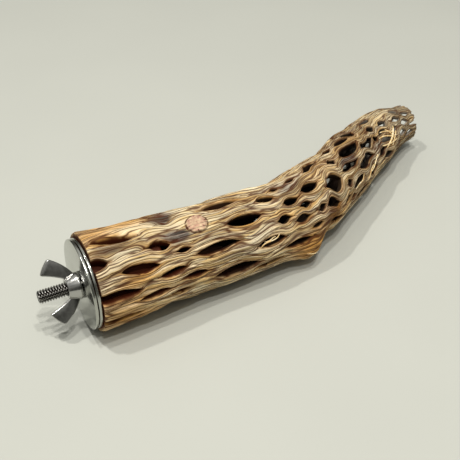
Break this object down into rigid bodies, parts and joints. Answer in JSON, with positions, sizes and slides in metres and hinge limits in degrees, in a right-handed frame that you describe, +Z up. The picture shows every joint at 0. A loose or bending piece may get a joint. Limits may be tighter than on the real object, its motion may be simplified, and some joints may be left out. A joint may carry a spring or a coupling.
{
  "type": "cholla wood perch",
  "caption": "Dried cholla cactus skeleton, a curved net-like hollow stem with a clamp of wide washers, stud and wing nut at its thick end.",
  "frame": {"origin": "on the supporting surface, under the middle of the whole part's box", "axes": "+X from the stud towards the stem's broken tip along the longest extent, +Z up from the surface, +Y to the side that the stem bends towards"},
  "size_m": [0.2508, 0.0988, 0.0473],
  "materials": {
    "cholla_wood": "weathered and dry, golden tan with grey patches",
    "plug_wood": "turned, bare",
    "stud_steel": "bright zinc plated",
    "washer_steel": "polished",
    "nut_steel": "bright plated"
  },
  "bodies": {
    "root": {"cholla_skeleton": "cholla_wood", "end_plug": "plug_wood", "hanger_stud": "stud_steel", "inner_washer": "washer_steel"},
    "clamp_washer": {"outer_washer": "washer_steel"},
    "wing_nut": {"wing_nut": "nut_steel"}
  },
  "joints": [
    {"name": "washer_slide", "type": "slide", "parent": "root", "child": "clamp_washer", "axis": [-1, 0, 0], "range_m": [0, 0.01142]},
    {"name": "nut_spin", "type": "hinge", "parent": "clamp_washer", "child": "wing_nut", "pos_m": [-0.10595, -0.02573, 0.0235], "axis": [-1, 0, 0], "range_deg": [0, 3240]}
  ],
  "couplings": [
    {"joint": "nut_spin", "follows": "washer_slide", "rad_per_m": 4947.4}
  ]
}
